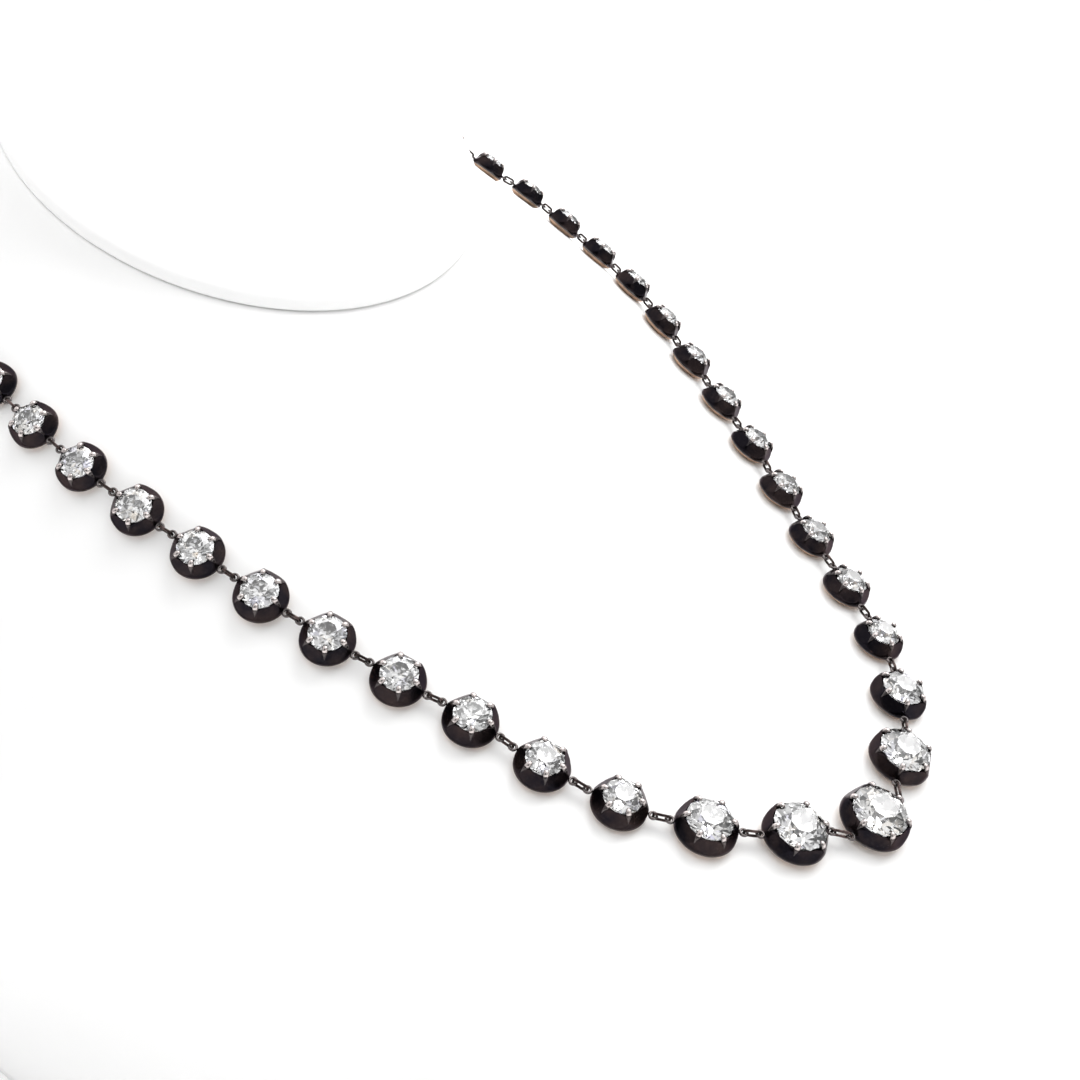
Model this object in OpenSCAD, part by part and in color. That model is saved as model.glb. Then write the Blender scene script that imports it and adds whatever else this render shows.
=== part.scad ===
// Riviere necklace of old-cut stones in cut-down silver collets with gold backs,
// laid round a plain white neck bust. Millimetres, +Z up, the chest faces -Y.
// The bust's skin and the necklace are worked out in the plane of the slanted neck top:
// x across, u from the neck's middle towards its back, h square to the neck top.

/* [Collets] */
// Diameter of the collet in the middle of the front
centre_d = 9.6; // [8:0.1:11.5]
// Height of a stone's girdle above the collet's foot, before what a wide collet adds
girdle_h = 2; // [1.7:0.05:2.3]
// Height that a collet's width adds to it, as a share of the diameter
girdle_rise = 0.1; // [0.07:0.01:0.14]
// Thickness of the gold back, as a share of the collet's diameter
gold_share = 0.09; // [0.06:0.01:0.13]
// Gap between the gold back and the silver cup
seam_gap = 0.05; // [0.03:0.01:0.1]
// Silver left round the stone at the mouth of a collet
lip = 0.14; // [0.1:0.01:0.3]
// Thickness of a claw where it grips the stone
claw_d = 0.78; // [0.6:0.01:0.95]
// How far a claw stands above the girdle
claw_over = 0.58; // [0.5:0.01:0.75]
// Radius of the open back, as a share of the collet's diameter
back_open = 0.26; // [0.2:0.01:0.28]

/* [Stones] */
// Diameter of the three front stones, as a share of their collets
front_stone = 0.775; // [0.72:0.005:0.8]
// Diameter of the side stones, as a share of their collets
side_stone = 0.655; // [0.62:0.005:0.72]
// Width of the table, as a share of the stone
table_share = 0.5; // [0.4:0.01:0.6]
// Height of the crown above the girdle, as a share of the stone
crown_share = 0.16; // [0.12:0.01:0.2]
// Thickness of the girdle, as a share of the stone
girdle_share = 0.03; // [0.02:0.005:0.05]
// Clearance between a stone and its metal
stone_gap = 0.05; // [0.03:0.01:0.1]

/* [Links] */
// Space between the feet of two collets
link_gap = 2.88; // [2.4:0.02:3.4]
// Thickness of the wire of the eyes and links
wire_d = 0.36; // [0.28:0.01:0.44]
// Bore of an eye
eye_bore = 0.56; // [0.5:0.01:0.7]
// Height of an eye above the foot of the silver cup
eye_rise = 0.75; // [0.65:0.05:0.9]
// Length of the clasp at the nape, over its body
clasp_l = 7.5; // [7:0.5:11]
// Width of the clasp
clasp_w = 4.4; // [3.5:0.1:6]
// Thickness of the clasp
clasp_t = 2.4; // [2:0.1:3.5]
// Space between the necklace and the skin of the bust
seat_gap = 0.35; // [0.3:0.05:0.6]

/* [Drape] */
// Width of the necklace's loop
loop_w = 107.4; // [103:0.2:112]
// Reach of the loop in front of the neck's middle, along the slant
loop_front = 140; // [132:1:145]
// Reach of the loop behind the neck's middle, along the slant
loop_back = 47.8; // [46:0.1:52]

/* [Bust] */
// Radius of the neck's round top
neck_r = 38; // [35:0.5:39]
// Slant of the neck top, from level
neck_tilt = 39.7; // [34:0.1:44]
// Thickness of the cap on the neck
cap_t = 2.6; // [2:0.1:3.4]
// Height of the middle of the neck top above the table
neck_h = 138; // [130:1:150]
// Reach of the chest in front of the neck's middle, along the slant
chest_reach = 178; // [172:1:190]
// Reach of the back behind the neck's middle, along the slant
back_reach = 62; // [58:1:72]
// Half of the width over the shoulders
shoulder_w = 80; // [77:1:90]
// Fall of the skin from the crown of the chest to the shoulders' edge
side_fall = 45; // [42:1:50]
// Height of the chest's crown over the plane of the neck top
chest_bulge = 3.2; // [2.6:0.1:4]
// Length over which the neck flares into the shoulders
flare = 6; // [5:0.5:9]
// Roundness of the edge between the skin and the walls
edge_r = 7; // [5:0.5:10]
// Size of the foot, as a share of the bust's outline
foot_share = 0.9; // [0.84:0.01:0.96]

/* [Hidden] */
// Collets on each side of the front one that are nodes of their own
visible = 14;
silver = [0.13, 0.12, 0.14];
bright = [0.93, 0.95, 0.97];
gold = [0.80, 0.62, 0.42];
plaster = [0.96, 0.96, 0.95];

// Crown line of the chest. Columns: place along it as a share of chest_reach in front and of
// back_reach behind, height as a share of chest_bulge.
CROWN = [[-1, -1.6], [-0.94, 0.5], [-0.88, 1.05], [-0.79, 1], [-0.67, 0.15], [-0.57, -0.35],
    [-0.46, -0.55], [-0.35, -0.5], [-0.24, -0.3], [-0.13, -0.9], [-0.08, -1.4], [0, -2.6],
    [0.3, -4.6], [0.6, -7.5], [1, -11]];

// Diameters of the collets. Columns: number from the middle, share of centre_d.
SIZES = [[0, 1], [1, 0.925], [2, 0.865], [3, 0.78], [8, 0.775], [10, 0.75], [12, 0.71],
    [14, 0.68], [20, 0.62], [26, 0.6]];

// Route of the right half of the necklace from the middle of the front to the nape. Columns:
// share of half of loop_w, share of loop_front in front and of loop_back behind.
ROUTE = [[0, -1], [0.21, -0.97], [0.38, -0.92], [0.5, -0.86], [0.58, -0.79], [0.64, -0.72],
    [0.77, -0.59], [0.88, -0.45], [0.97, -0.31], [1, -0.17], [0.97, -0.07], [0.89, 0.11],
    [0.77, 0.4], [0.6, 0.68], [0.37, 0.87], [0.15, 0.97], [0, 1]];

// Value of a smooth curve through the rows [place, height] of a table.
function slope(t, i) = i == 0 ? (t[1][1] - t[0][1]) / (t[1][0] - t[0][0])
    : i == len(t) - 1 ? (t[i][1] - t[i - 1][1]) / (t[i][0] - t[i - 1][0])
    : (t[i + 1][1] - t[i - 1][1]) / (t[i + 1][0] - t[i - 1][0]);
function row_of(t, p, i = 0) = i >= len(t) - 2 || p < t[i + 1][0] ? i : row_of(t, p, i + 1);
function hermite(t, i, w, q) =
    (2 * q * q * q - 3 * q * q + 1) * t[i][1] + (q * q * q - 2 * q * q + q) * w * slope(t, i)
    + (3 * q * q - 2 * q * q * q) * t[i + 1][1] + (q * q * q - q * q) * w * slope(t, i + 1);
function curve(t, p) = let (i = row_of(t, p), w = t[i + 1][0] - t[i][0])
    hermite(t, i, w, (p - t[i][0]) / w);

// Height of the chest and shoulders at a place of the slanted plane.
function crown(u) = chest_bulge * curve(CROWN, u < 0 ? u / chest_reach : u / back_reach);
function chest(x, u) = crown(u) - side_fall * pow(abs(x) / shoulder_w, 4);
// Height of the skin: the chest with the flare that carries the neck.
function skin(x, u) = let (r = norm([x, u]), rim = neck_r / max(r, neck_r))
    chest(x, u) - chest(x * rim, u * rim) * exp(-(max(r, neck_r) - neck_r) / flare);
probe = 0.1;
function unit(v) = v / norm(v);
function skin_normal(x, u) = unit(cross(
    [2 * probe, 0, skin(x + probe, u) - skin(x - probe, u)],
    [0, 2 * probe, skin(x, u + probe) - skin(x, u - probe)]));
function on_skin(x, u, lift = 0) = [x, u, skin(x, u)] + lift * skin_normal(x, u);

// Smooth route through the chosen points, in short steps.
steps = 10;
points = [for (p = ROUTE) [p[0] * loop_w / 2, p[1] * (p[1] < 0 ? loop_front : loop_back)]];
function knot(i) = let (n = len(points) - 1)
    i < 0 ? [-points[-i][0], points[-i][1]]
    : i > n ? [-points[2 * n - i][0], points[2 * n - i][1]] : points[i];
function between(a, b, c, d, q) = 0.5 * (2 * b + (c - a) * q + (2 * a - 5 * b + 4 * c - d) * q * q
    + (3 * b - a - 3 * c + d) * q * q * q);
path = [for (i = [0:len(points) - 2]) for (k = [0:steps - 1])
    between(knot(i - 1), knot(i), knot(i + 1), knot(i + 2), k / steps), points[len(points) - 1]];
lifted = [for (p = path) on_skin(p[0], p[1], seat_gap)];
function lengths(i = 0, done = [], sum = 0) = i >= len(lifted) ? done
    : let (s = i == 0 ? 0 : sum + norm(lifted[i] - lifted[i - 1])) lengths(i + 1, concat(done, [s]), s);
run = lengths();
half_length = run[len(run) - 1];
along_x = [for (i = [0:len(run) - 1]) [run[i], path[i][0]]];
along_u = [for (i = [0:len(run) - 1]) [run[i], path[i][1]]];
function place_at(s) = [lookup(s, along_x), lookup(s, along_u)];

// Collets along the half necklace: as many as fit before the clasp, with what is left
// shared out between the links.
last_front = 1;
first_side = 3;
function collet_d(i) = centre_d * lookup(i, SIZES);
function stone_d(i) = collet_d(i) * lookup(i, [[last_front, front_stone], [first_side, side_stone]]);
function plain_s(i) = i == 0 ? 0 : plain_s(i - 1) + (collet_d(i - 1) + collet_d(i)) / 2 + link_gap;
function end_s(i) = plain_s(i) + collet_d(i) / 2 + link_gap + clasp_l / 2;
function fitting(i) = end_s(i + 1) > half_length + link_gap / 2 ? i : fitting(i + 1);
last = fitting(1);
spare = (half_length - end_s(last)) / (last + 1);
function collet_s(i) = plain_s(i) + i * spare;

// Frame of a place on the route: the route's direction, the side, the skin's normal and the
// middle of a foot of radius r, which rests on the highest skin under its rim.
function direction(s) = let (a = place_at(max(s - 1, 0)), b = place_at(min(s + 1, half_length)))
    unit(on_skin(b[0], b[1]) - on_skin(a[0], a[1]));
function frame_at(s, r) = let (p = place_at(s), n = skin_normal(p[0], p[1]),
    ahead = s == 0 ? [1, 0, 0] : s == half_length ? [-1, 0, 0] : direction(s),
    side = unit(cross(n, ahead)), along = cross(side, n), skin_here = on_skin(p[0], p[1]),
    rise = max([for (a = [0:45:315]) let (q = skin_here + r * (cos(a) * along + sin(a) * side))
        (on_skin(q[0], q[1]) - skin_here) * n]))
    [along, side, n, skin_here + (seat_gap + max(0, rise)) * n];
frames = [for (i = [0:last]) frame_at(collet_s(i), collet_d(i) / 2)];
function at(f, v) = f[3] + f[0] * v[0] + f[1] * v[1] + f[2] * v[2];
module in_frame(f) {
    multmatrix([[f[0][0], f[1][0], f[2][0], f[3][0]],
                [f[0][1], f[1][1], f[2][1], f[3][1]],
                [f[0][2], f[1][2], f[2][2], f[3][2]],
                [0, 0, 0, 1]]) children();
}
module on_bust() {
    translate([0, middle_y, neck_h]) rotate([neck_tilt, 0, 0]) children();
}

// Collet: a domed cup cut down flat between six claws, open behind, with a seat for the stone.
claws = 6;
eye_ring_r = (eye_bore + wire_d) / 2;
eye_bite = 0.2;
eye_out = eye_ring_r + wire_d / 2 - eye_bite;
function girdle_z(d) = girdle_h + d * girdle_rise;
function foot_z(d) = d * gold_share + seam_gap;
function wall_z(d, share) = foot_z(d) + share * (girdle_z(d) - foot_z(d));
function mouth_r(sd) = sd / 2 + lip;
function eye_z(d) = foot_z(d) + eye_rise;
rim_share = 0.2;
dome_steps = 3;
function dome_point(d, sd, q) = let (m = mouth_r(sd), rim = wall_z(d, rim_share))
    [m + (d / 2 - m) * cos(q), rim + (girdle_z(d) - rim) * sin(q)];
module cup(d, sd) {
    rotate_extrude($fn = 48) polygon(concat([[0, foot_z(d)], [d / 2, foot_z(d)]],
        [for (k = [0:dome_steps]) dome_point(d, sd, 90 * k / dome_steps)],
        [[0, girdle_z(d)]]));
}
flat_foot = 0.3;
flat_in = 0.02;
module flat_cut(d, sd) {
    low = [d / 2 * (1 - 2 * flat_in), wall_z(d, flat_foot)];
    high = [mouth_r(sd) - flat_in, girdle_z(d)];
    lean = atan2(low[0] - high[0], high[1] - low[1]);
    translate([high[0], 0, high[1]]) rotate([0, -lean, 0])
        translate([0, -d / 2, -d]) cube([d, d, 2 * d]);
}
// Claw: a ridge left standing by the cuts, wide over the stone and pointed down the wall.
claw_foot = 0.25;
claw_hold = 0.3;
claw_back = 0.34;
claw_sink = 0.5;
claw_proud = 0.2;
point_share = 0.25;
module claw(d, sd) {
    low_z = wall_z(d, claw_foot);
    low_r = d / 2 * (1 - flat_in);
    half_way = dome_point(d, sd, 45) + [claw_proud, claw_proud];
    high_z = girdle_z(d) + claw_over;
    back_r = mouth_r(sd) + claw_back;
    hold_r = sd / 2 - claw_hold;
    intersection() {
        rotate([90, 0, 0]) linear_extrude(2 * claw_d, center = true)
            polygon([[low_r - claw_sink, low_z], [low_r, low_z], half_way, [back_r, girdle_z(d)],
                [back_r - claw_back / 2, high_z], [hold_r, high_z], [hold_r, girdle_z(d) - claw_sink]]);
        linear_extrude(d) {
            polygon([[hold_r + claw_d / 2, claw_d / 2], [hold_r + claw_d / 2, -claw_d / 2],
                [low_r, -point_share * claw_d / 2], [low_r, point_share * claw_d / 2]]);
            translate([hold_r + claw_d / 2, 0]) circle(d = claw_d, $fn = 20);
        }
    }
}
module wire_ring(r) {
    rotate_extrude($fn = 28) translate([r, 0]) circle(d = wire_d, $fn = 16);
}
module eye(d) {
    translate([d / 2 + eye_out, 0, eye_z(d)]) wire_ring(eye_ring_r);
}
module setting(i) {
    d = collet_d(i);
    sd = stone_d(i);
    difference() {
        union() {
            difference() {
                cup(d, sd);
                for (k = [0:claws - 1]) rotate([0, 0, (k + 0.5) * 360 / claws]) flat_cut(d, sd);
            }
            for (k = [0:claws - 1]) rotate([0, 0, k * 360 / claws]) claw(d, sd);
            for (turn = [0, 180]) rotate([0, 0, turn]) eye(d);
        }
        stone_room(d, sd);
    }
}
// Saucer edge of a gold back. Columns: share of its thickness inwards and upwards.
SAUCER = [[1.7, 0], [0.8, 0.35], [0.25, 1]];
module gold_back(i) {
    d = collet_d(i);
    t = gold_share * d;
    hole = back_open * d;
    rotate_extrude($fn = 48) polygon(concat([[hole, 0]],
        [for (row = SAUCER) [d / 2 - row[0] * t, row[1] * t]], [[hole, t]]));
}

// Old-cut stone: a small table, a high crown, a girdle of sixteen sides and an open culet.
sides = 16;
pavilion_share = 0.38;
culet_share = 0.07;
culet_clear = 0.12;
function pavilion(d, sd) = min(pavilion_share * sd, girdle_z(d) - culet_clear);
function ring_of(n, r, z, turn = 0) = [for (k = [0:n - 1]) let (a = 360 * k / n + turn)
    [r * cos(a), r * sin(a), z]];
module stone(i) {
    d = collet_d(i);
    sd = stone_d(i);
    z = girdle_z(d);
    g = girdle_share * sd;
    half = sides / 2;
    top = half;
    low = half + sides;
    end = half + 2 * sides;
    corners = concat(ring_of(half, table_share * sd / 2, z + g + crown_share * sd, 180 / half),
        ring_of(sides, sd / 2, z + g), ring_of(sides, sd / 2, z),
        ring_of(half, culet_share * sd, z - pavilion(d, sd), 180 / half));
    faces = concat([[for (k = [half - 1:-1:0]) k]],
        [for (k = [0:half - 1]) each [
            [k, top + 2 * k + 1, top + 2 * k],
            [k, top + (2 * k + 2) % sides, top + 2 * k + 1],
            [k, (k + 1) % half, top + (2 * k + 2) % sides],
            [end + k, low + 2 * k, low + 2 * k + 1],
            [end + k, low + 2 * k + 1, low + (2 * k + 2) % sides],
            [end + k, low + (2 * k + 2) % sides, end + (k + 1) % half]]],
        [for (k = [0:sides - 1]) [top + k, top + (k + 1) % sides, low + (k + 1) % sides, low + k]],
        [[for (k = [0:half - 1]) end + k]]);
    polyhedron(points = corners, faces = faces);
}
// Space that the stone takes in its collet, open to the front and behind.
module stone_room(d, sd) {
    z = girdle_z(d);
    g = girdle_share * sd;
    c = stone_gap;
    open_r = back_open * d;
    seat_z = z - pavilion(d, sd) * (sd / 2 - open_r) / (sd / 2 - culet_share * sd);
    table_r = table_share * sd / 2 + c;
    rotate_extrude($fn = 48)
        polygon([[0, -d], [open_r, -d], [open_r, seat_z - 2 * c], [sd / 2 + c, z - c],
            [sd / 2 + c, z + g + c], [table_r, z + g + crown_share * sd + 2 * c],
            [table_r, z + d], [0, z + d]]);
}

// Oval jump ring through the eyes of two neighbours: it stands on edge to the skin. Its bars
// are a little thicker than its bends and reach over their ends.
bar_swell = 1.05;
bar_over = 0.03;
module oval_ring(reach) {
    bend = reach - eye_ring_r;
    for (turn = [0, 180]) rotate([0, 0, turn]) {
        translate([bend, 0]) rotate([0, 0, -90]) rotate_extrude(angle = 180, $fn = 28)
            translate([eye_ring_r, 0]) circle(d = wire_d, $fn = 16);
        translate([-bend - bar_over, eye_ring_r]) rotate([0, 90, 0])
            cylinder(d = wire_d * bar_swell, h = 2 * (bend + bar_over), $fn = 16);
    }
}
module ring_between(a, b, n) {
    ahead = unit(b - a);
    side = unit(cross(n, ahead));
    in_frame([ahead, cross(side, ahead), side, (a + b) / 2]) oval_ring(norm(b - a) / 2);
}
function eye_at(i, way) = let (d = collet_d(i)) at(frames[i], [way * (d / 2 + eye_out), 0, eye_z(d)]);
nape = frame_at(half_length, clasp_w / 2);
clasp_z = eye_z(collet_d(last));
clasp_eye = at(nape, [-(clasp_l / 2 + eye_out), 0, clasp_z]);
module jump_rings() {
    for (i = [0:last - 1])
        ring_between(eye_at(i, 1), eye_at(i + 1, -1), unit(frames[i][2] + frames[i + 1][2]));
    ring_between(eye_at(last, 1), clasp_eye, unit(frames[last][2] + nape[2]));
}

// Bust: the cap's edge, rings of the skin that crowd near the neck, then the walls to the foot.
// Cap on the neck, with a fine shadow gap under it. Columns: share of cap_t inwards from the
// neck's side, share of cap_t in height.
CAP = [[0.9, 1], [0.45, 0.95], [0.14, 0.78], [0, 0.5], [0, 0.16], [0.17, 0.12], [0.17, 0.01]];
azimuths = 80;
skin_rings = 11;
crowding = 1.3;
wall_rings = 4;
wall_bend = 2;
squareness = 2.3;
last_fall = 0.97;
function slanted(p) = [p[0], p[1] * cos(neck_tilt) - p[2] * sin(neck_tilt),
    neck_h + p[1] * sin(neck_tilt) + p[2] * cos(neck_tilt)];
function turned(a) = [sin(a), -cos(a)];
function signed_pow(v, p) = sign(v) * pow(abs(v), p);
function outline(a) = let (reach = cos(a) > 0 ? chest_reach : back_reach)
    [shoulder_w * signed_pow(sin(a), 2 / squareness), -reach * signed_pow(cos(a), 2 / squareness)];
function cap_point(a, row) = let (p = (neck_r - row[0] * cap_t) * turned(a))
    slanted([p[0], p[1], row[1] * cap_t]);
function skin_point(a, q) = let (p = (1 - q) * neck_r * turned(a) + q * outline(a))
    slanted(on_skin(p[0], p[1]));
foot_y = (skin_point(0, 1)[1] + skin_point(180, 1)[1]) / 2;
function foot_point(a) = let (e = skin_point(a, 1))
    [foot_share * e[0], foot_y + foot_share * (e[1] - foot_y), 0];
// Wall under the edge of the skin: it bends over from the skin's own fall and runs to the foot.
function wall_point(a, q) = let (e = skin_point(a, 1),
    knee = e + edge_r * unit(e - skin_point(a, last_fall)),
    wall = knee + (foot_point(a) - knee) * min(1, wall_bend * edge_r / knee[2]))
    (1 - q) * (1 - q) * e + 2 * q * (1 - q) * knee + q * q * wall;
turns = [for (k = [0:azimuths - 1]) 360 * k / azimuths];
rings = concat(
    [for (row = CAP) [for (a = turns) cap_point(a, row)]],
    [for (j = [0:skin_rings]) [for (a = turns) skin_point(a, pow(j / skin_rings, crowding))]],
    [for (j = [1:wall_rings]) [for (a = turns) wall_point(a, j / wall_rings)]],
    [[for (a = turns) foot_point(a)]]);
depths = [for (r = rings) for (p = r) p[1]];
// The frame's origin is in the middle of the whole outline, on the table.
middle_y = -(min(depths) + max(depths)) / 2;
module neck_bust() {
    n = azimuths;
    count = len(rings);
    color(plaster) translate([0, middle_y, 0]) polyhedron(
        points = concat([for (r = rings) each r], [slanted([0, 0, cap_t]), [0, foot_y, 0]]),
        faces = concat(
            [for (j = [0:count - 2]) for (k = [0:n - 1]) each [
                [j * n + k, (j + 1) * n + (k + 1) % n, j * n + (k + 1) % n],
                [j * n + k, (j + 1) * n + k, (j + 1) * n + (k + 1) % n]]],
            [for (k = [0:n - 1]) [count * n, k, (k + 1) % n]],
            [for (k = [0:n - 1]) [count * n + 1, (count - 1) * n + (k + 1) % n, (count - 1) * n + k]]));
}

module right_half(flip) {
    mirror([flip ? 1 : 0, 0, 0]) children();
}
module one_setting(i, flip) {
    color(silver) on_bust() right_half(flip) in_frame(frames[i]) setting(i);
}
module settings_from(a, b, flip) {
    for (i = [a:b]) one_setting(i, flip);
}
module stones_from(a, b, flip) {
    color(bright) on_bust() right_half(flip) for (i = [a:b]) in_frame(frames[i]) stone(i);
}
module gold_backs(a, b, flip) {
    color(gold) on_bust() right_half(flip) for (i = [a:b]) in_frame(frames[i]) gold_back(i);
}
module jump_ring_row(flip) {
    color(silver) on_bust() right_half(flip) jump_rings();
}
module clasp() {
    bow = clasp_l - clasp_w;
    color(silver) on_bust() in_frame(nape) translate([0, 0, clasp_z]) {
        translate([0, 0, -clasp_t / 2]) linear_extrude(clasp_t) {
            square([bow, clasp_w], center = true);
            for (way = [-1, 1]) translate([way * bow / 2, 0]) circle(d = clasp_w, $fn = 32);
        }
        for (way = [-1, 1]) translate([way * (clasp_l / 2 + eye_out), 0]) wire_ring(eye_ring_r);
    }
}

neck_bust();
one_setting(0, false);  // centre_setting
for (i = [1:visible]) {
    one_setting(i, true);
    one_setting(i, false);
}
settings_from(visible + 1, last, true);  // back_settings_left
settings_from(visible + 1, last, false);  // back_settings_right
stones_from(0, 0, false);  // centre_stone
stones_from(1, visible, true);  // left_stones
stones_from(1, visible, false);  // right_stones
stones_from(visible + 1, last, true);  // back_stones_left
stones_from(visible + 1, last, false);  // back_stones_right
gold_backs(1, last, true);  // gold_backs_left
gold_backs(0, last, false);  // gold_backs_right
jump_ring_row(true);  // jump_rings_left
jump_ring_row(false);  // jump_rings_right
clasp();
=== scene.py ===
import math
import random
import bmesh
import bpy
from mathutils import Matrix, Vector


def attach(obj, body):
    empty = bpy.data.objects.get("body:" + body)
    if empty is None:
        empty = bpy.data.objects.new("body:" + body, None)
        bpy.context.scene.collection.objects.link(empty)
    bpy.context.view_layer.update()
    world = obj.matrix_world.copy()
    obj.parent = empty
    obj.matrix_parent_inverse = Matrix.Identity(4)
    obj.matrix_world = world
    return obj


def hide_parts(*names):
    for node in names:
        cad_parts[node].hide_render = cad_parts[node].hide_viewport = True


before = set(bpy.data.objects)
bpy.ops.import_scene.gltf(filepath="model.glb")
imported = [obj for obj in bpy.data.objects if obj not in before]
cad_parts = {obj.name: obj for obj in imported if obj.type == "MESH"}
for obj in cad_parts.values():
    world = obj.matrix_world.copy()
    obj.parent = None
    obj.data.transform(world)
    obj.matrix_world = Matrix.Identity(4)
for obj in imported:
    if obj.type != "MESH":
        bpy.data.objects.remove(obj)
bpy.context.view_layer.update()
MM = 0.001
BODY = "root"
WELD = 1e-7

# Sizes that the frame doesn't give: the eyes and rings of link wire, and the hole in each back
# as a share of the collet's width
EYE_BORE = 0.56 * MM
LINK_WIRE = 0.36 * MM
RING_RADIUS = (EYE_BORE + LINK_WIRE) / 2
BACK_OPEN = 0.26


# Shader maths as plain expressions

MIX_FACTOR, MIX_LOW, MIX_HIGH = 0, 6, 7
MIX_COLOUR = 2


class Signal:
    """One socket's value in a material; arithmetic on it adds Math nodes."""

    def __init__(self, finish, socket):
        self.finish = finish
        self.socket = socket

    def math(self, operation, *others):
        values = dict(enumerate((self,) + others))
        return self.finish.node("ShaderNodeMath", {"operation": operation}, values)

    def __add__(self, other):
        return self.math("ADD", other)

    def __mul__(self, other):
        return self.math("MULTIPLY", other)

    def __sub__(self, other):
        return self.math("SUBTRACT", other)

    def clamped(self):
        return self.math("MINIMUM", 1.0).math("MAXIMUM", 0.0)


class Finish:
    """A material, its Principled shader and the nodes that feed it."""

    def __init__(self, name, **constants):
        self.material = bpy.data.materials.new(name)
        self.material.use_nodes = True
        self.tree = self.material.node_tree
        self.shader = self.tree.nodes["Principled BSDF"]
        self.set(**constants)

    def feed(self, socket, value):
        if isinstance(value, Signal):
            self.tree.links.new(value.socket, socket)
        else:
            socket.default_value = value

    def node(self, kind, settings=None, inputs=None, output=0):
        made = self.tree.nodes.new(kind)
        for key, value in (settings or {}).items():
            if key == "stops":
                self.set_stops(made.color_ramp, value)
            else:
                setattr(made, key, value)
        for key, value in (inputs or {}).items():
            self.feed(made.inputs[key], value)
        return Signal(self, made.outputs[output])

    def set_stops(self, ramp, stops):
        while len(ramp.elements) < len(stops):
            ramp.elements.new(1.0)
        for element, (place, colour) in zip(ramp.elements, stops):
            element.position = place
            element.color = colour if isinstance(colour, tuple) else (colour, colour, colour, 1.0)

    def set(self, **values):
        for name, value in values.items():
            self.feed(self.shader.inputs[name.replace("_", " ")], value)

    def attribute(self, name):
        return self.node("ShaderNodeAttribute", {"attribute_name": name}, output="Fac")

    def place(self):
        return self.node("ShaderNodeTexCoord", output="Object")

    def grain(self, scale, detail=3.0, roughness=0.55):
        """Noise from 0 to 1, its scale in features a metre."""
        inputs = {"Vector": self.place(), "Scale": scale, "Detail": detail, "Roughness": roughness}
        return self.node("ShaderNodeTexNoise", inputs=inputs, output="Fac")

    def steps(self, value, *stops):
        return self.node("ShaderNodeValToRGB", {"stops": stops}, {"Fac": value})

    def blend(self, share, low, high):
        inputs = {MIX_FACTOR: share, MIX_LOW: low, MIX_HIGH: high}
        return self.node("ShaderNodeMix", {"data_type": "RGBA"}, inputs, MIX_COLOUR)

    def bump(self, height, distance, strength=1.0):
        inputs = {"Height": height, "Distance": distance, "Strength": strength}
        self.set(Normal=self.node("ShaderNodeBump", inputs=inputs))


# Finishes

RESIN_DIM = (0.9, 0.9, 0.895, 1)
RESIN_PALE = (0.93, 0.93, 0.93, 1)
FLOOR_PALE = (0.92, 0.92, 0.92, 1)
SILVER_SHEEN = (0.5, 0.46, 0.48, 1.0)
SILVER_BLACK = (0.007, 0.006, 0.009, 1)
SILVER_BROWN = (0.032, 0.022, 0.021, 1)
# Rubbed silver; the same colour also paints the highlights on the claws' tops and the cups' feet.
SILVER_RUBBED_AND_HIGHLIGHT = (0.62, 0.565, 0.55, 1)
LINK_DARK = (0.02, 0.014, 0.013, 1)
LINK_WORN = (0.13, 0.092, 0.087, 1)
GOLD_BRIGHT = (0.72, 0.50, 0.36, 1)
GOLD_DULL = (0.36, 0.26, 0.19, 1)
CLEAR = (1.0, 1.0, 1.0, 1.0)
# Tints for the painted fire: colour flashes of split light painted into facets.
PAINTED_FIRE = ((0.0, (0.78, 0.76, 1.0, 1.0)), (0.1, (0.95, 0.96, 1.0, 1.0)), (0.2, CLEAR),
        (0.86, CLEAR), (0.93, (1.0, 0.97, 0.9, 1.0)), (1.0, (1.0, 0.86, 0.72, 1.0)))
DIAMOND_IOR = 2.42
FINE_BUMP = 0.02 * MM
METAL_BUMP = 0.03 * MM


def white_resin():
    finish = Finish("white_resin", Roughness=0.5, Specular_IOR_Level=0.35)
    finish.set(Base_Color=finish.blend(finish.grain(18.0), RESIN_DIM, RESIN_PALE))
    finish.bump(finish.grain(900.0, 2.0), FINE_BUMP, 0.35)
    return finish.material


def dark_silver():
    """Blackened silver in two tones, brightened by a vertex attribute that holds real rubbing on
    the eyes, clasp and claw tips, painted highlights on the claws' tops and the cups' feet, and
    painted shade at the claws' sides.
    """
    finish = Finish("dark_silver", Specular_IOR_Level=0.5, Specular_Tint=SILVER_SHEEN)
    # The attribute holds real wear and also painted highlights and shade.
    wear = finish.attribute("wear")
    patches = finish.steps(finish.grain(260.0), (0.4, 0.0), (0.68, 1.0))
    scratches = finish.grain(2600.0, roughness=0.7)
    blackened = finish.blend(patches, SILVER_BLACK, SILVER_BROWN)
    rubbed_and_painted_light = (wear * 1.1 + (scratches - 0.5) * (wear * 0.7 + 0.06)).clamped()
    finish.set(
        Base_Color=finish.blend(rubbed_and_painted_light, blackened, SILVER_RUBBED_AND_HIGHLIGHT),
        Metallic=(wear * 0.15 + 0.85).clamped(),
        Roughness=(patches * 0.12 + 0.15 + (scratches - 0.5) * 0.12).clamped(),
    )
    finish.bump(scratches, FINE_BUMP, 0.4)
    return finish.material


def link_silver():
    finish = Finish("link_silver", Metallic=0.9)
    worn = finish.steps(finish.grain(900.0), (0.44, 0.0), (0.7, 1.0))
    finish.set(Base_Color=finish.blend(worn, LINK_DARK, LINK_WORN), Roughness=worn * 0.12 + 0.2)
    finish.bump(finish.grain(2600.0), METAL_BUMP, 0.4)
    return finish.material


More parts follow.
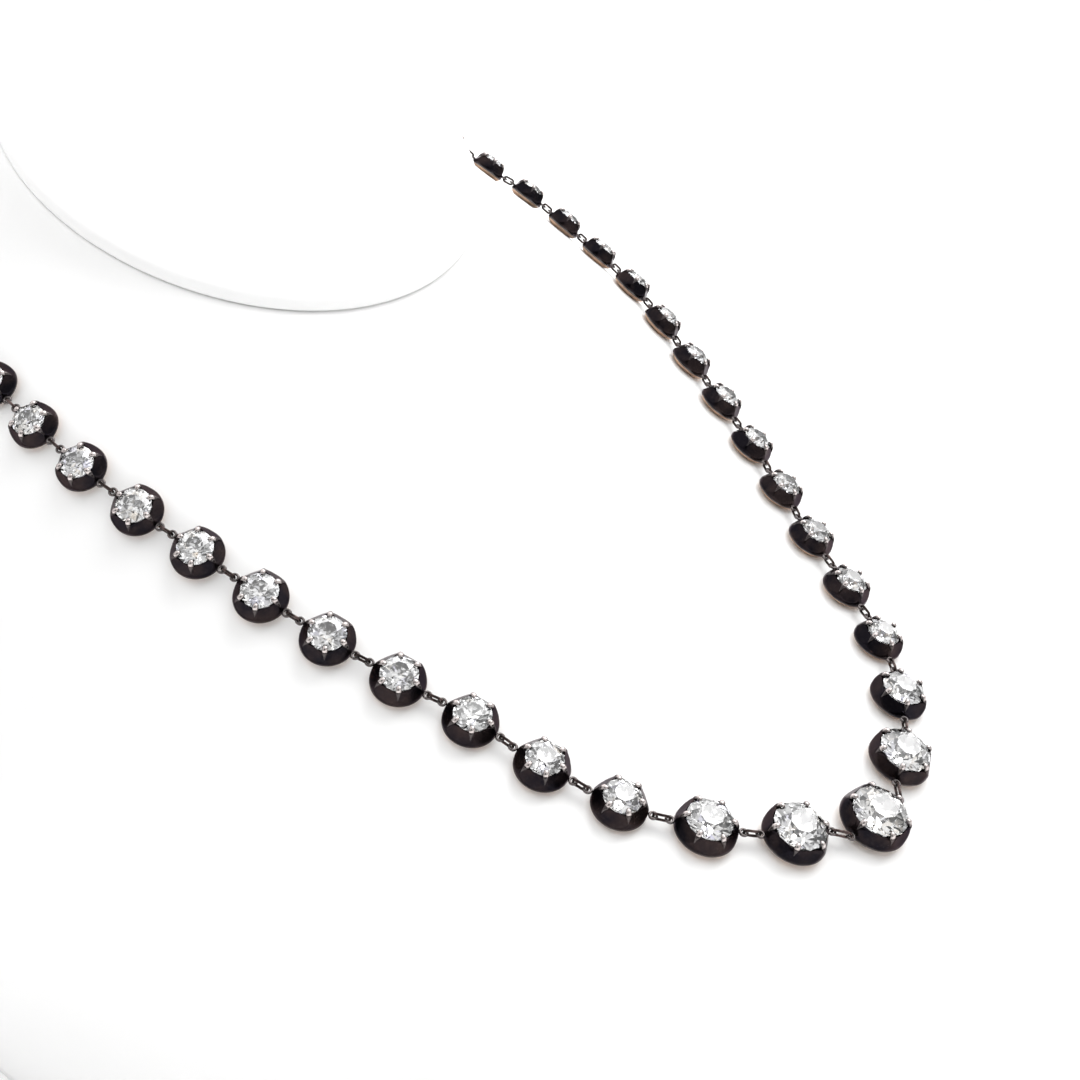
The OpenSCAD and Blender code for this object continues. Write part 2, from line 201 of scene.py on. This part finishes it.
def old_gold():
    finish = Finish("old_gold", Metallic=1.0)
    dull = finish.steps(finish.grain(500.0, 4.0), (0.4, 0.0), (0.65, 1.0))
    finish.set(Base_Color=finish.blend(dull, GOLD_BRIGHT, GOLD_DULL), Roughness=dull * 0.2 + 0.3)
    finish.bump(finish.grain(2200.0), METAL_BUMP, 0.4)
    return finish.material


def cut_stone():
    """Clear stone; a few facets carry a faint violet or amber tint, painted fire standing in for
    light split into colours.
    """
    finish = Finish("cut_stone", Roughness=0.02, IOR=DIAMOND_IOR, Transmission_Weight=1.0)
    finish.set(Base_Color=finish.steps(finish.attribute("fire"), *PAINTED_FIRE))
    return finish.material


def pale_floor():
    return Finish("pale_floor", Roughness=0.7, Base_Color=FLOOR_PALE).material


# Pieces

def piece(name, bm, material, node, smooth=True):
    """Makes a bmesh an object that rides on the bust and stands for its CAD node."""
    bmesh.ops.recalc_face_normals(bm, faces=bm.faces)
    mesh = bpy.data.meshes.new(name)
    for face in bm.faces:
        face.smooth = smooth
    bm.to_mesh(mesh)
    bm.free()
    mesh.materials.append(material)
    made = bpy.data.objects.new(name, mesh)
    bpy.context.scene.collection.objects.link(made)
    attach(made, BODY)
    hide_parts(node)
    return made


def merged_copy(node):
    bm = bmesh.new()
    bm.from_mesh(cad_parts[node].data)
    bmesh.ops.remove_doubles(bm, verts=bm.verts, dist=WELD)
    return bm


def solids_of(node):
    """The loose solids of a CAD node, each as a list of its corners' places.

    They come in the order of the mesh, so that random draws fall on the same ones each run.
    """
    bm = merged_copy(node)
    seen = set()
    solids = []
    for first in bm.verts:
        if first in seen:
            continue
        seen.add(first)
        reached = [first]
        solid = []
        while reached:
            corner = reached.pop()
            solid.append(corner.co.copy())
            for edge in corner.link_edges:
                other = edge.other_vert(corner)
                if other not in seen:
                    seen.add(other)
                    reached.append(other)
        solids.append(solid)
    bm.free()
    return solids


def middle(points):
    return sum(points, Vector()) / len(points)


def nearest(solids, point):
    return min(solids, key=lambda solid: (middle(solid) - point).length)


def added(bm, part):
    """Moves what a small bmesh holds into bm and returns its corners there.

    Operators slow down as a bmesh grows, so each small shape is made in its own.
    """
    mesh = bpy.data.meshes.new("part")
    part.to_mesh(mesh)
    part.free()
    before = len(bm.verts)
    bm.from_mesh(mesh)
    bpy.data.meshes.remove(mesh)
    bm.verts.ensure_lookup_table()
    return bm.verts[before:]


def turned(bm, profile, steps):
    """Turns a closed profile of (radius, height) points about Z and returns its corners."""
    part = bmesh.new()
    corners = [part.verts.new((radius, 0, height)) for radius, height in profile]
    edges = [part.edges.new(pair) for pair in zip(corners, corners[1:] + corners[:1])]
    bmesh.ops.spin(part, geom=corners + edges, cent=(0, 0, 0), axis=(0, 0, 1),
                   angle=2 * math.pi, steps=steps, use_merge=True)
    return added(bm, part)


def wire_ring(bm, matrix, around, across):
    """A ring of link wire, as wide as an eye, about the local Z of matrix."""
    turns = [2 * math.pi * k / across for k in range(across)]
    half = LINK_WIRE / 2
    section = [(RING_RADIUS + half * math.cos(a), half * math.sin(a)) for a in turns]
    made = turned(bm, section, around)
    bmesh.ops.transform(bm, matrix=matrix, verts=made)
    return made


def mix(low, high, share):
    return low + (high - low) * share


def smooth_step(low, high, value):
    share = min(1.0, max(0.0, (value - low) / (high - low)))
    return share * share * (3 - 2 * share)


# Collets, read from the frame

GIRDLE_SHARE = 0.98
EYE_CLEAR = 0.1 * MM


class Collet:
    """Place, direction and sizes of one collet, from its gold back, stone and setting."""

    def __init__(self, node, gold, stone_node, stone, setting):
        self.node = node
        self.stone_node = stone_node
        centre = middle(gold)
        self.axis = (middle(stone) - centre).normalized()
        self.foot = centre
        self.foot = centre + self.axis * min(self.height(p) for p in gold)
        self.radius = max(self.reach(p) for p in gold)
        self.gold_top = max(self.height(p) for p in gold)
        self.stone_r = max(self.reach(p) for p in stone)
        girdle = [self.height(p) for p in stone if self.reach(p) > GIRDLE_SHARE * self.stone_r]
        self.girdle_low = min(girdle)
        self.girdle_high = max(girdle)
        self.table = max(self.height(p) for p in stone)
        self.culet = min(self.height(p) for p in stone)
        self.wall_foot = min(self.height(p) for p in setting)
        tip = max(setting, key=self.reach)
        eye = middle([p for p in setting if self.reach(p) > self.radius + EYE_CLEAR
                      and (p - self.foot).dot(tip - self.foot) > 0])
        self.eye_height = self.height(eye)
        self.eye_reach = self.reach(tip) - EYE_BORE / 2 - LINK_WIRE
        ahead = (eye - self.foot - self.axis * self.eye_height).normalized()
        turn = Matrix((ahead, self.axis.cross(ahead), self.axis)).transposed()
        self.matrix = Matrix.Translation(self.foot) @ turn.to_4x4()

    def height(self, point):
        return (point - self.foot).dot(self.axis)

    def reach(self, point):
        arm = point - self.foot
        return (arm - self.axis * arm.dot(self.axis)).length


SINGLE_SETTINGS = 14
SETTING_NODES = (["centre_setting"]
                 + [f"{side}_setting_{i}" for side in ("left", "right")
                    for i in range(1, SINGLE_SETTINGS + 1)]
                 + ["back_settings_left", "back_settings_right"])
STONE_NODES = ["centre_stone", "left_stones", "right_stones",
               "back_stones_left", "back_stones_right"]
GOLD_NODES = ["gold_backs_left", "gold_backs_right"]
RING_NODES = ["jump_rings_left", "jump_rings_right"]


def read_collets():
    golds = [solid for node in GOLD_NODES for solid in solids_of(node)]
    stones = [(node, solid) for node in STONE_NODES for solid in solids_of(node)]
    made = []
    for node in SETTING_NODES:
        for setting in solids_of(node):
            here = middle(setting)
            stone_node, stone = min(stones, key=lambda pair: (middle(pair[1]) - here).length)
            made.append(Collet(node, nearest(golds, here), stone_node, stone, setting))
    return made


# Silver settings: the cup

WALL_STEPS = 96
DOME_STEP = 6
LIP = 0.13 * MM
FOOT_EDGE = 0.1 * MM
RIM_SHARE = 0.2
SEAT_SHARE = 0.62
MOUTH_EDGE = 0.06 * MM

CLAWS = 6
HALF_FLAT = 180 / CLAWS
FLAT_LOW_R = 0.955
FLAT_LOW_Z = 0.3
FLAT_HIGH = 0.09 * MM
FLAT_SOFTNESS = 0.05 * MM
SCOOP = 0.06 * MM

# Painted highlight along the cup's foot: its strength, and the height of the band it fades over.
FOOT_PAINTED_HIGHLIGHT = 0.3
FOOT_HIGHLIGHT_BAND = 0.3 * MM


def dome_point(collet, degrees):
    """Point of the domed wall, from 0 at its widest to 90 at the mouth."""
    mouth = collet.stone_r + LIP
    rim = mix(collet.wall_foot, collet.girdle_low, RIM_SHARE)
    q = math.radians(degrees)
    return (mouth + (collet.radius - mouth) * math.cos(q),
            rim + (collet.girdle_low - rim) * math.sin(q))


def wall_profile(collet):
    """Closed outline of the cup: foot, domed wall, lip and the inside down to the open back."""
    inside = BACK_OPEN * 2 * collet.radius
    seat = mix(collet.culet, collet.girdle_low, SEAT_SHARE)
    foot = collet.wall_foot
    outer = [(collet.radius - inwards * FOOT_EDGE, foot + up * FOOT_EDGE)
             for inwards, up in ((1, 0), (0, 0.5), (0, 1.5), (0.4, 2.2))]
    dome = [dome_point(collet, degrees) for degrees in range(0, 91, DOME_STEP)]
    dome[0] = (collet.radius, mix(foot + 2.6 * FOOT_EDGE, dome[0][1], 0.6))
    inner = [(collet.stone_r + 0.05 * MM, collet.girdle_low - 0.01 * MM),
             (inside, seat - 0.1 * MM), (inside, foot)]
    return outer + dome + inner


def cut_flats(collet, corners):
    """Cuts the dome down between the claws, with soft edges and a slight hollow."""
    low_r = FLAT_LOW_R * collet.radius
    low_z = mix(collet.wall_foot, collet.girdle_low, FLAT_LOW_Z)
    high_r = collet.stone_r + FLAT_HIGH
    for corner in corners:
        r = math.hypot(corner.co.x, corner.co.y)
        if r < collet.stone_r + MOUTH_EDGE:
            continue
        angle = math.degrees(math.atan2(corner.co.y, corner.co.x))
        off = angle % (2 * HALF_FLAT) - HALF_FLAT
        share = (corner.co.z - low_z) / (collet.girdle_low - low_z)
        hollow = SCOOP * (1 - (off / HALF_FLAT) ** 2) * max(0.0, min(1.0, share))
        flat = (mix(low_r, high_r, share) - hollow) / math.cos(math.radians(off))
        near = max(0.0, 1 - abs(r - flat) / FLAT_SOFTNESS)
        new_r = min(r, flat) - 0.25 * FLAT_SOFTNESS * near * near
        corner.co.x *= new_r / r
        corner.co.y *= new_r / r


# Silver settings: the claws

CLAW_AROUND, CLAW_ALONG = 10, 18
CLAW_HALF_WIDTH = 0.38 * MM
CLAW_HALF_DEPTH = 0.27 * MM
CLAW_FOOT, CLAW_TOP = 24, 86
SUNK, PROUD = -0.08, 0.1
SHOULDER = 0.62
BEND_OUT = 0.02 * MM
TIP_RISE = 0.42 * MM
TIP_REACH = 0.56 * MM
TIP_ROUND = 0.2
POLE = 0.001
SLOPE_STEP = 0.02


def claw_line(collet, s):
    """Middle line of a claw, from its point on the wall (0) over the shoulder to its tip (1)."""
    if s < SHOULDER:
        share = s / SHOULDER
        degrees = mix(CLAW_FOOT, CLAW_TOP, share)
        r, z = dome_point(collet, degrees)
        proud = mix(SUNK, PROUD, share) * MM
        q = math.radians(degrees)
        return (r + proud * math.cos(q), z + proud * math.sin(q))
    start = claw_line(collet, SHOULDER - 1e-6)
    bend = (start[0] + BEND_OUT, collet.girdle_high + TIP_RISE)
    tip = (collet.stone_r - TIP_REACH, collet.girdle_high + TIP_RISE)
    t = (s - SHOULDER) / (1 - SHOULDER)
    return tuple((1 - t) ** 2 * start[i] + 2 * t * (1 - t) * bend[i] + t * t * tip[i]
                 for i in (0, 1))


def claw_swell(s):
    """Share of its full thickness: a fine ridge that widens into a drop with a round end."""
    body = (0.22 * smooth_step(0.0, 0.2, s) + 0.18 * smooth_step(0.1, 0.4, s)
            + 0.6 * smooth_step(0.26, 0.62, s))
    past = max(0.0, (s - (1 - TIP_ROUND)) / TIP_ROUND)
    return body * math.sqrt(max(0.0, 1 - past ** 2))


def claw_wear_and_painted_light(s, out):
    """Rubbed bright towards the tip and faintly along the ridge, on the outward-facing top only:
    wear, and with it a painted highlight on the top and painted shade at the sides, which stay
    blackened.
    """
    along = 0.12 * smooth_step(0.0, 0.3, s) + 0.88 * smooth_step(0.54, 0.72, s)
    return along * (0.05 + 0.95 * max(0.0, out))


def claw(bm, collet, degrees, wear, shift):
    """A claw, bent from a ball; its tip is shifted inwards by shift."""
    part = bmesh.new()
    bmesh.ops.create_uvsphere(part, u_segments=CLAW_AROUND, v_segments=CLAW_ALONG, radius=1.0)
    made = added(bm, part)
    for corner in made:
        s = 1 - math.acos(max(-1.0, min(1.0, corner.co.z))) / math.pi
        across = max(1e-6, math.hypot(corner.co.x, corner.co.y))
        side, out = corner.co.x / across, corner.co.y / across
        if s < POLE or s > 1 - POLE:
            side = out = 0.0
        swell = claw_swell(s)
        here = claw_line(collet, s)
        after = claw_line(collet, min(1.0, s + SLOPE_STEP))
        before = claw_line(collet, max(0.0, s - SLOPE_STEP))
        along = Vector((after[0] - before[0], after[1] - before[1])).normalized()
        lift = out * CLAW_HALF_DEPTH * swell
        corner.co = Vector((here[0] + along.y * lift - shift * s, side * CLAW_HALF_WIDTH * swell,
                            here[1] - along.x * lift))
        # Wear on the claw, with a painted highlight on its top and painted shade at its sides.
        corner[wear] = claw_wear_and_painted_light(s, out)
    bmesh.ops.rotate(bm, verts=made, matrix=Matrix.Rotation(math.radians(degrees), 3, "Z"))
    return made


# Silver settings: whole

EYE_AROUND, EYE_ACROSS = 24, 8
EYE_WEAR = 0.2
CLAW_TURN = 2
CLAW_SHIFT = 0.08


def setting(whole, collet, chance):
    """Cup, claws and the two eyes of one collet, added to whole."""
    bm = bmesh.new()
    # One attribute for rubbed wear and for the painted highlights and shade of the claws and the
    # cup's foot.
    wear = bm.verts.layers.float.new("wear")
    made = list(turned(bm, wall_profile(collet), WALL_STEPS))
    cut_flats(collet, made)
    # Painted highlight: the wall is lightened in a band at its foot.
    for corner in made:
        up = corner.co.z - collet.wall_foot
        corner[wear] = FOOT_PAINTED_HIGHLIGHT * (1 - smooth_step(0.0, FOOT_HIGHLIGHT_BAND, up))
    for k in range(CLAWS):
        degrees = 2 * HALF_FLAT * k + chance.uniform(-CLAW_TURN, CLAW_TURN)
        shift = chance.uniform(-CLAW_SHIFT, CLAW_SHIFT) * MM
        made += claw(bm, collet, degrees, wear, shift)
    for way in (-1, 1):
        place = Matrix.Translation((way * collet.eye_reach, 0, collet.eye_height))
        eye = wire_ring(bm, place, EYE_AROUND, EYE_ACROSS)
        for corner in eye:
            corner[wear] = EYE_WEAR
        made += eye
    bmesh.ops.transform(bm, matrix=collet.matrix, verts=made)
    added(whole, bm)


def make_settings(collets, material):
    chance = random.Random(7)
    for node in SETTING_NODES:
        bm = bmesh.new()
        for collet in collets:
            if collet.node == node:
                setting(bm, collet, chance)
        piece(f"silver_{node}", bm, material, node)


# Gold backs

GOLD_STEPS = 56
GOLD_EDGE = ((1.75, 0), (1.55, 0.03), (1.2, 0.17), (0.8, 0.38), (0.48, 0.64), (0.3, 0.88),
             (0.25, 1))


def gold_back(bm, collet):
    """A saucer with a hole; GOLD_EDGE gives its rim in thicknesses, inwards and up."""
    thick = collet.gold_top
    hole = BACK_OPEN * 2 * collet.radius
    rim = [(collet.radius - inwards * thick, up * thick) for inwards, up in GOLD_EDGE]
    made = turned(bm, [(hole, 0)] + rim + [(hole, thick)], GOLD_STEPS)
    bmesh.ops.transform(bm, matrix=collet.matrix, verts=made)


def make_gold_backs(collets, material):
    """The front collet's back belongs to the right-hand node."""
    for node, left in zip(GOLD_NODES, (True, False)):
        bm = bmesh.new()
        for collet in collets:
            if (collet.foot.x < -MM) == left:
                gold_back(bm, collet)
        piece(f"old_{node}", bm, material, node)


# Old-cut stones

TABLE_SHARE = 0.5
CULET_SHARE = 0.09
STAR_REACH = 0.78
HALF_REACH = 0.46
HALF_STEP = 22.5
NO_TINT = 0.5
MOST_FACET_CORNERS = 6


def stone(bm, collet, spin):
    """Table, stars, kites and halves over a girdle, mains and halves under it, as their hull."""
    r = collet.stone_r
    corners = []

    def ring(count, share, height, degrees=0.0):
        for k in range(count):
            a = math.radians(360 * k / count + degrees)
            corners.append(bm.verts.new((share * r * math.cos(a), share * r * math.sin(a), height)))

    crown = collet.table - collet.girdle_high
    depth = collet.girdle_low - collet.culet
    lean = math.cos(math.radians(HALF_STEP))
    star_z = crown * (1 - STAR_REACH * lean) / (1 - TABLE_SHARE)
    half_z = depth * (1 - HALF_REACH * lean) / (1 - CULET_SHARE)
    ring(8, TABLE_SHARE, collet.table)
    ring(8, STAR_REACH, collet.girdle_high + star_z, HALF_STEP)
    ring(16, 1, collet.girdle_high)
    ring(16, 1, collet.girdle_low)
    ring(8, HALF_REACH, collet.girdle_low - half_z, HALF_STEP)
    ring(8, CULET_SHARE, collet.culet)
    bmesh.ops.convex_hull(bm, input=corners)
    bmesh.ops.transform(bm, matrix=collet.matrix @ Matrix.Rotation(spin, 4, "Z"), verts=corners)


def make_stones(collets, material):
    """Each stone has its own turn and each facet its own painted fire tint, the tables none."""
    chance = random.Random(3)
    for node in STONE_NODES:
        bm = bmesh.new()
        for collet in collets:
            if collet.stone_node == node:
                stone(bm, collet, chance.uniform(0, math.pi))
        bmesh.ops.dissolve_limit(bm, angle_limit=math.radians(0.3), verts=bm.verts, edges=bm.edges)
        # Painted fire: a random tint for each facet.
        fire = bm.faces.layers.float.new("fire")
        for face in bm.faces:
            painted_fire_tint = chance.random()
            face[fire] = NO_TINT if len(face.verts) > MOST_FACET_CORNERS else painted_fire_tint
        piece(f"cut_{node}", bm, material, node, smooth=False)


# Jump rings and clasp

RING_AROUND, RING_ACROSS = 28, 10
CLASP_WEAR = 0.15
CLASP_EDGE = 0.25 * MM


def oval_ring(bm, centre, ahead, normal, reach):
    """An oval of link wire about normal, its round ends reach from the centre."""
    turn = Matrix((ahead, normal.cross(ahead), normal)).transposed().to_4x4()
    half_step = Matrix.Rotation(math.pi / RING_AROUND, 4, "Z")
    made = wire_ring(bm, half_step, RING_AROUND, RING_ACROSS)
    for corner in made:
        corner.co.x += math.copysign(reach - RING_RADIUS, corner.co.x)
    bmesh.ops.transform(bm, matrix=Matrix.Translation(centre) @ turn, verts=made)


def make_jump_rings(material):
    for node in RING_NODES:
        bm = bmesh.new()
        for solid in solids_of(node):
            centre = middle(solid)
            far = max(solid, key=lambda p: (p - centre).length) - centre
            wide = max(solid, key=lambda p: (p - centre).cross(far).length) - centre
            normal = far.cross(wide).normalized()
            oval_ring(bm, centre, far.normalized(), normal, far.length - LINK_WIRE / 2)
        piece(f"silver_{node}", bm, material, node)


def make_clasp(material):
    bm = merged_copy("clasp")
    bmesh.ops.dissolve_limit(bm, angle_limit=math.radians(1), verts=bm.verts, edges=bm.edges)
    wear = bm.verts.layers.float.new("wear")
    for corner in bm.verts:
        corner[wear] = CLASP_WEAR
    made = piece("silver_clasp", bm, material, "clasp", smooth=False)
    rounding = made.modifiers.new("rounding", "BEVEL")
    rounding.width = CLASP_EDGE
    rounding.segments = 2
    rounding.limit_method = "ANGLE"
    rounding.angle_limit = math.radians(50)


# Neck bust

NECK_TOP = Vector((0.0, 29.16, 138.0)) * MM
NECK_TILT = math.radians(39.7)
NECK_UP = Vector((0.0, -math.sin(NECK_TILT), math.cos(NECK_TILT)))
SAME_WAY = 0.99999
FOOT_HEIGHT = MM
TALL = 30 * MM
TALL_CUTS = 6
MOST_EDGES = 8
FITTING_ROUNDS = 5
ROUNDING_LEVELS = 2


def seat_lift(place):
    """How far the skin is raised to meet the feet that lie on it, none at the neck's cap."""
    nape = 0.09 * smooth_step(30 * MM, 46 * MM, place.y)
    chest = 0.1 * smooth_step(-70 * MM, -80 * MM, place.y)
    off_cap = smooth_step(39.5 * MM, 45 * MM, (place - NECK_TOP).length)
    return (0.35 + nape + chest) * MM * off_cap


def rounded_place(corner):
    """Where the rounding of make_bust puts a corner of the mesh in the end."""
    n = len(corner.link_edges)
    beside = sum((edge.other_vert(corner).co for edge in corner.link_edges), Vector())
    near = {edge.other_vert(corner) for edge in corner.link_edges}
    across = Vector()
    for face in corner.link_faces:
        far = [v.co for v in face.verts if v is not corner and v not in near]
        across += far[0] if far else middle([v.co for v in face.verts])
    return (corner.co * n * n + beside * 4 + across) / (n * (n + 5))


def faces_up_neck(bm):
    return [face for face in bm.faces if face.normal.dot(NECK_UP) > SAME_WAY]


def stands_tall(edge):
    """A long edge that rises from the foot."""
    heights = sorted(corner.co.z for corner in edge.verts)
    return edge.calc_length() > TALL and heights[0] < FOOT_HEIGHT < heights[1]


def make_bust(material):
    """The CAD's skin, its facets joined and rounded, with the foot and the neck's top kept sharp.

    Rounding shrinks a mesh, so its corners are first moved out until the rounded skin passes
    through where the CAD has them. Then the skin is raised to meet the collets' feet.
    """
    bm = merged_copy("neck_bust")
    bm.normal_update()
    bmesh.ops.dissolve_faces(bm, faces=faces_up_neck(bm))
    flat_top = {v for face in faces_up_neck(bm) for v in face.verts}
    bmesh.ops.join_triangles(bm, faces=bm.faces, angle_face_threshold=math.radians(60),
                             angle_shape_threshold=math.radians(180))
    tall = [edge for edge in bm.edges if stands_tall(edge)]
    bmesh.ops.subdivide_edges(bm, edges=tall, cuts=TALL_CUTS, use_grid_fill=True)
    crease = bm.edges.layers.float.new("crease_edge")
    for edge in bm.edges:
        on_foot = all(corner.co.z < FOOT_HEIGHT for corner in edge.verts)
        if on_foot or flat_top.issuperset(edge.verts):
            edge[crease] = 1.0
    free = [v for v in bm.verts if v.co.z > FOOT_HEIGHT and v not in flat_top
            and len(v.link_edges) < MOST_EDGES]
    wanted = {v: v.co.copy() for v in free}
    for _ in range(FITTING_ROUNDS):
        bm.normal_update()
        shifts = {v: (wanted[v] - rounded_place(v)).dot(v.normal) * v.normal for v in free}
        for v in free:
            v.co += shifts[v]
    bm.normal_update()
    for v in free:
        v.co += v.normal * seat_lift(wanted[v])
    made = piece("white_neck_bust", bm, material, "neck_bust")
    rounding = made.modifiers.new("rounding", "SUBSURF")
    rounding.levels = ROUNDING_LEVELS
    rounding.render_levels = ROUNDING_LEVELS


# Stage, light and camera

FLOOR_HALF = 3.0

# World light: (cosine of the angle to a direction, grey) at the two ends of each ramp
SKY = ((0.0, 0.53), (0.9, 1.08))
DARK_PATCH = ((0.86, 1.0), (0.98, 0.02))
BACK_PANEL = Vector((0.36, 0.9, 0.24)).normalized()
BACK_LIGHT = ((0.66, 1.0), (0.92, 3.3))
KEY_PANEL = Vector((0.62, -0.16, 0.68)).normalized()
KEY_LIGHT = ((0.86, 1.0), (0.965, 4.6))
FILL_FROM = Vector((-0.45, 0.1, 0.89))
FILL_ENERGY = 0.8
FILL_ANGLE = math.radians(60)

# Camera: its place from the front collet's foot, then its lens and turns
VIEWER = Vector((-137.7, -101.7, 103.1)) * MM
LENS, SENSOR = 51.17, 36.0
HEADING, DIP, ROLL = math.radians(-41.43), math.radians(-19.58), math.radians(-8.0)


def stage():
    bm = bmesh.new()
    bmesh.ops.create_grid(bm, x_segments=1, y_segments=1, size=FLOOR_HALF)
    mesh = bpy.data.meshes.new("floor")
    bm.to_mesh(mesh)
    bm.free()
    mesh.materials.append(pale_floor())
    floor = bpy.data.objects.new("floor", mesh)
    bpy.context.scene.collection.objects.link(floor)


def studio():
    """Pale all round, brighter upwards, with bright panels on the right and behind and a dark
    patch where the photo was taken from; a wide, soft sun fills in."""
    world = bpy.data.worlds.new("studio")
    world.use_nodes = True
    tree = world.node_tree
    place = tree.nodes.new("ShaderNodeTexCoord")

    def patch(direction, stops):
        """Grey by the angle to a direction."""
        facing = tree.nodes.new("ShaderNodeVectorMath")
        facing.operation = "DOT_PRODUCT"
        facing.inputs[1].default_value = direction
        ramp = tree.nodes.new("ShaderNodeValToRGB")
        for element, (share, grey) in zip(ramp.color_ramp.elements, stops):
            element.position = share
            element.color = (grey, grey, grey, 1.0)
        tree.links.new(place.outputs["Generated"], facing.inputs[0])
        tree.links.new(facing.outputs["Value"], ramp.inputs["Fac"])
        return ramp.outputs["Color"]

    colour = patch(Vector((0.0, 0.0, 1.0)), SKY)
    for part in (patch(VIEWER.normalized(), DARK_PATCH), patch(BACK_PANEL, BACK_LIGHT),
                 patch(KEY_PANEL, KEY_LIGHT)):
        lit = tree.nodes.new("ShaderNodeVectorMath")
        lit.operation = "MULTIPLY"
        tree.links.new(colour, lit.inputs[0])
        tree.links.new(part, lit.inputs[1])
        colour = lit.outputs["Vector"]
    tree.links.new(colour, tree.nodes["Background"].inputs["Color"])
    bpy.context.scene.world = world
    data = bpy.data.lights.new("soft_fill", "SUN")
    data.energy = FILL_ENERGY
    data.angle = FILL_ANGLE
    sun = bpy.data.objects.new("soft_fill", data)
    sun.visible_glossy = False
    sun.visible_transmission = False
    sun.rotation_euler = FILL_FROM.to_track_quat("Z", "Y").to_euler()
    bpy.context.scene.collection.objects.link(sun)


def camera(foot):
    """The photo's place and angle, worked out from both strands of the necklace."""
    data = bpy.data.cameras.new("photo")
    data.lens = LENS
    data.sensor_width = SENSOR
    data.clip_start = 10 * MM
    made = bpy.data.objects.new("photo", data)
    made.matrix_world = (Matrix.Translation(foot + VIEWER) @ Matrix.Rotation(HEADING, 4, "Z")
                         @ Matrix.Rotation(math.pi / 2 + DIP, 4, "X")
                         @ Matrix.Rotation(ROLL, 4, "Z"))
    bpy.context.scene.collection.objects.link(made)
    bpy.context.scene.camera = made


collets = read_collets()
front = next(collet for collet in collets if collet.node == "centre_setting")
camera(front.foot)
studio()
stage()
make_settings(collets, dark_silver())
make_gold_backs(collets, old_gold())
make_stones(collets, cut_stone())
make_jump_rings(link_silver())
make_clasp(dark_silver())
make_bust(white_resin())
bpy.context.scene.view_settings.view_transform = "Standard"
